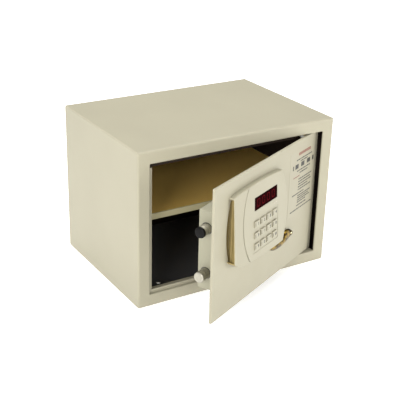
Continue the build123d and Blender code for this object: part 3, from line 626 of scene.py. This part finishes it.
def brass_cover():
    """The domed emergency-key cover: a tapered tail that swells into a blunt head.

    Each row of its plan gives (s, z) on the upper edge and then on the lower edge.
    """
    edges = [
        (0.1565, 0.0776, 0.1565, 0.0768), (0.1630, 0.0784, 0.1637, 0.0731), (0.1700, 0.0786, 0.1703, 0.0694),
        (0.1800, 0.0791, 0.1805, 0.0666), (0.1900, 0.0793, 0.1910, 0.0660), (0.1985, 0.0797, 0.2015, 0.0663),
        (0.2018, 0.0830, 0.2100, 0.0680), (0.2034, 0.0868, 0.2150, 0.0692), (0.2058, 0.0904, 0.2200, 0.0704),
        (0.2120, 0.0902, 0.2240, 0.0713), (0.2185, 0.0890, 0.2272, 0.0721), (0.2250, 0.0866, 0.2298, 0.0732),
        (0.2298, 0.0832, 0.2316, 0.0750), (0.2322, 0.0796, 0.2324, 0.0772),
    ]
    across = 14
    edge_crown = 0.0012
    full_crown = 0.0026
    full_half = 0.0100
    mesh = bpy.data.meshes.new("brass_cover")
    bm = bmesh.new()
    rings = []
    for s0, z0, s1, z1 in edges:
        half = math.hypot(s1 - s0, z1 - z0) / 2
        crown = edge_crown + full_crown * min(half / full_half, 1.0)
        ring = []
        for k in range(across + 1):
            t = k / across
            bulge = math.sqrt(max(0.0, 1 - (2 * t - 1) ** 2))
            height = COVER_BASE + crown * bulge * (0.75 + 0.25 * bulge)
            ring.append(bm.verts.new((s0 + (s1 - s0) * t, z0 + (z1 - z0) * t, height)))
        for t in (1.0, 0.67, 0.33, 0.0):
            ring.append(bm.verts.new((s0 + (s1 - s0) * t, z0 + (z1 - z0) * t, COVER_FOOT)))
        rings.append(ring)
    count = len(rings[0])
    for a, b in zip(rings, rings[1:]):
        for k in range(count):
            bm.faces.new((a[k], a[(k + 1) % count], b[(k + 1) % count], b[k]))
    bm.faces.new(rings[0])
    bm.faces.new(list(reversed(rings[-1])))
    bmesh.ops.recalc_face_normals(bm, faces=bm.faces)
    for face in bm.faces:
        face.smooth = True
    bm.to_mesh(mesh)
    bm.free()
    cover = piece("brass_cover", mesh, DOOR, "brass", "override_cover")
    smooth = cover.modifiers.new("smooth", "SUBSURF")
    smooth.levels = 1
    smooth.render_levels = 2
    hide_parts("override_cover")
    return cover


def turned(name, profile, matrix, material, body):
    """A round piece, from its profile as (radius, height) pairs."""
    mesh = bpy.data.meshes.new(name)
    bm = bmesh.new()
    line = [bm.verts.new((r, 0, d)) for r, d in profile]
    edges = [bm.edges.new(pair) for pair in zip(line, line[1:])]
    bmesh.ops.spin(bm, geom=line + edges, cent=(0, 0, 0), axis=(0, 0, 1), angle=math.tau, steps=48)
    bmesh.ops.remove_doubles(bm, verts=bm.verts, dist=1e-6)
    bmesh.ops.recalc_face_normals(bm, faces=bm.faces)
    for face in bm.faces:
        face.smooth = True
    bm.to_mesh(mesh)
    bm.free()
    return piece(name, mesh, matrix, material, body)


def cover_eye():
    """The collar and the rivet at the head's end: the rivet's pale colour is a painted highlight, and the
    collar's dark brass is a painted dark reflection around it.
    """
    place = DOOR @ Matrix.Translation(COVER_EYE)
    collar = [
        (0.0026, 0.0), (0.0026, 0.0022), (0.0029, 0.0026), (0.0034, 0.0026), (0.0037, 0.0021), (0.0038, 0.0),
        (0.0026, 0.0),
    ]
    turned("cover_collar", collar, place, "dark_rim_reflection", "override_cover")
    rivet = [(0.0, 0.0026), (0.0012, 0.0025), (0.0020, 0.0021), (0.0025, 0.0014), (0.0025, 0.0), (0.0, 0.0)]
    turned("cover_rivet", rivet, place, "rivet", "override_cover")


def bolt_tip_shade():
    """A black disc on the upper bolt's tip: painted shade where that end shows dark."""
    profile = [
        (0.0, 0.0), (0.0058, 0.0001), (0.0072, 0.0005), (0.0080, 0.0013), (0.0083, 0.0022), (0.0083, 0.0044),
        (0.0080, 0.0045),
    ]
    turn = Matrix.Rotation(math.radians(90), 4, "Y")
    place = DOOR @ Matrix.Translation(BOLT_TIP) @ turn
    turned("bolt_tip_shade", profile, place, "tip_shade", "bolt_carriage")


key_legends()
display_digits()
label_print()
brass_cover()
cover_eye()
bolt_tip_shade()


# ---- Stage, light and camera ----

MIDDLE = Vector((0, 0, 0.12))
FLOOR_HALF = 25.0
FLOOR_DROP = 0.0005


def stage_floor():
    """A wide pale floor, just under the safe."""
    mesh = bpy.data.meshes.new("floor")
    signs = ((-1, -1), (1, -1), (1, 1), (-1, 1))
    corners = [(x * FLOOR_HALF, y * FLOOR_HALF, 0) for x, y in signs]
    mesh.from_pydata(corners, [], [(0, 1, 2, 3)])
    floor = bpy.data.objects.new("floor", mesh)
    floor.location.z = -FLOOR_DROP
    scene.collection.objects.link(floor)
    m = Nodes("floor_paper")
    m.link(m.ramp(m.noise(3.0), linear(250, 250, 249), linear(253, 253, 252)), m.shader.inputs["Base Color"])
    m.set(Roughness=0.9, Emission_Color=(1.0, 1.0, 1.0, 1.0), Emission_Strength=0.43)
    mesh.materials.append(m.mat)


def area_light(name, place, size, power):
    """A soft rectangular light, turned towards the middle of the safe."""
    light = bpy.data.lights.new(name, "AREA")
    light.shape = "RECTANGLE"
    light.size, light.size_y = size
    light.energy = power
    obj = bpy.data.objects.new(name, light)
    obj.location = place
    obj.rotation_euler = (MIDDLE - Vector(place)).to_track_quat("-Z", "Y").to_euler()
    scene.collection.objects.link(obj)


def world_light():
    """A weak even light from everywhere."""
    world = bpy.data.worlds.new("studio")
    world.use_nodes = True
    background = world.node_tree.nodes["Background"]
    background.inputs["Color"].default_value = (1.0, 1.0, 1.0, 1.0)
    background.inputs["Strength"].default_value = 0.33
    scene.world = world


def camera():
    """The photograph's viewpoint: in front, to the left and above, leaning a little to one side."""
    place = Vector((-0.7273, -1.1794, 0.6943))
    target = Vector((-0.0238, -0.0498, 0.12))
    lean = math.radians(1.47)
    data = bpy.data.cameras.new("camera")
    data.sensor_width = 36.0
    data.lens = 81.8
    obj = bpy.data.objects.new("camera", data)
    aim = (target - place).to_track_quat("-Z", "Y").to_matrix().to_4x4()
    obj.matrix_world = Matrix.Translation(place) @ aim @ Matrix.Rotation(lean, 4, "Z")
    scene.collection.objects.link(obj)
    scene.camera = obj


stage_floor()
world_light()
area_light("front_right", (1.6, -1.7, 0.5), (1.0, 0.8), 29.5)
area_light("front_left", (-1.7, -1.2, 0.8), (1.0, 1.0), 32.0)
area_light("back_left", (-1.4, 1.6, 1.2), (1.2, 1.0), 17.0)
area_light("overhead", (0.1, 0.3, 2.0), (1.6, 1.6), 47.5)
area_light("front", (-0.6, -1.9, 0.9), (0.8, 0.6), 10.5)
camera()
scene.view_settings.view_transform = "Standard"
